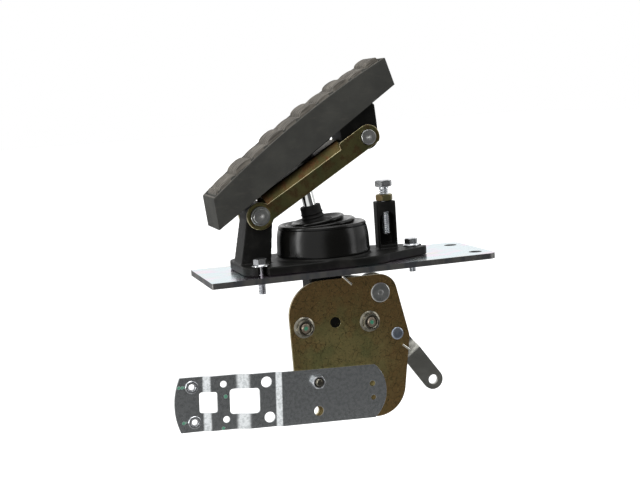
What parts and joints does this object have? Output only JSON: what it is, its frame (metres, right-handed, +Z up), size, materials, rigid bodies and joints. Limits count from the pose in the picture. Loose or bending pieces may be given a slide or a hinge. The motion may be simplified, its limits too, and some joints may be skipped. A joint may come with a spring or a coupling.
{
  "type": "treadle accelerator pedal",
  "caption": "Floor mounted treadle pedal: a ribbed tread on a hinged lever drives a rod through the floor plate to a bell crank with an output arm.",
  "frame": {"origin": "underside of the floor plate, under the rubber boot, on the pedal's middle plane", "axes": "+X from the heel of the tread to its toe along the floor plate, +Y across the pedal, +Z up, square to the floor plate"},
  "size_m": [0.2749, 0.09, 0.2988],
  "materials": {
    "bright_zinc": "bright zinc plate with faint iridescence",
    "bolt_zinc": "bright zinc fasteners",
    "black_casting": "satin black paint on a casting",
    "boot_rubber": "glossy black moulded rubber",
    "tread_rubber": "matt dark grey moulded rubber",
    "yellow_zinc": "yellow passivated zinc, mottled",
    "grey_steel": "plain grey steel",
    "bright_rod": "ground and plated rod",
    "spring_wire": "drawn spring wire",
    "bracket_zinc": "blue-grey zinc plated sheet"
  },
  "bodies": {
    "frame": {"base_plate": "bright_zinc", "base_casting": "black_casting", "flange_bolt_left_front": "bolt_zinc", "flange_bolt_left_rear": "bolt_zinc", "flange_bolt_right": "bolt_zinc", "boot": "boot_rubber", "jam_nut": "yellow_zinc", "hinge_pin": "grey_steel", "hinge_clip": "grey_steel", "front_side_plate": "yellow_zinc", "rear_side_plate": "yellow_zinc", "main_shaft": "grey_steel", "spring_post": "grey_steel", "return_spring_front": "spring_wire", "return_spring_rear": "spring_wire", "side_bolt_left": "bolt_zinc", "side_bolt_right": "bolt_zinc", "side_nut_left": "bolt_zinc", "side_nut_right": "bolt_zinc", "adapter_bracket": "bracket_zinc", "clinch_nut_upper": "bolt_zinc", "clinch_nut_lower": "bolt_zinc", "bracket_bolt": "bolt_zinc", "bracket_nut": "bolt_zinc"},
    "lever": {"treadle_link": "yellow_zinc", "rod_clevis": "grey_steel", "rod_pin": "grey_steel", "rest_bumper": "tread_rubber", "hinge_bush_front": "grey_steel", "hinge_bush_rear": "grey_steel", "upper_pin": "grey_steel", "upper_clip": "grey_steel"},
    "tread": {"pad_frame": "black_casting", "tread_pad": "tread_rubber"},
    "rod": {"plunger_rod": "bright_rod"},
    "crank": {"crank_lever": "grey_steel", "crank_pin": "grey_steel", "output_arm": "grey_steel"},
    "stop": {"stop_screw": "bolt_zinc"}
  },
  "joints": [
    {"name": "treadle_hinge", "type": "hinge", "parent": "frame", "child": "lever", "pos_m": [-0.0546, 0, 0.0508], "axis": [0, 1, 0], "range_deg": [0, 14.5], "stiffness_Nm_per_rad": 4, "springref_deg": -34.38, "deforming": ["boot"]},
    {"name": "tread_pivot", "type": "hinge", "parent": "lever", "child": "tread", "pos_m": [0.0406, 0, 0.1076], "axis": [0, 1, 0], "range_deg": [0, 6]},
    {"name": "rod_pivot", "type": "hinge", "parent": "lever", "child": "rod", "pos_m": [-0.0124, 0, 0.076], "axis": [0, 1, 0], "range_deg": [-16, 0]},
    {"name": "crank_shaft", "type": "hinge", "parent": "frame", "child": "crank", "pos_m": [0.0413, 0, -0.0214], "axis": [0, 1, 0], "range_deg": [-22, 0], "deforming": ["return_spring_front", "return_spring_rear"]},
    {"name": "stop_adjust", "type": "slide", "parent": "frame", "child": "stop", "axis": [0, 0, 1], "range_m": [-0.005, 0]}
  ],
  "couplings": [
    {"joint": "rod_pivot", "follows": "treadle_hinge", "ratio": -1.044},
    {"joint": "crank_shaft", "follows": "treadle_hinge", "ratio": -1.4608}
  ]
}
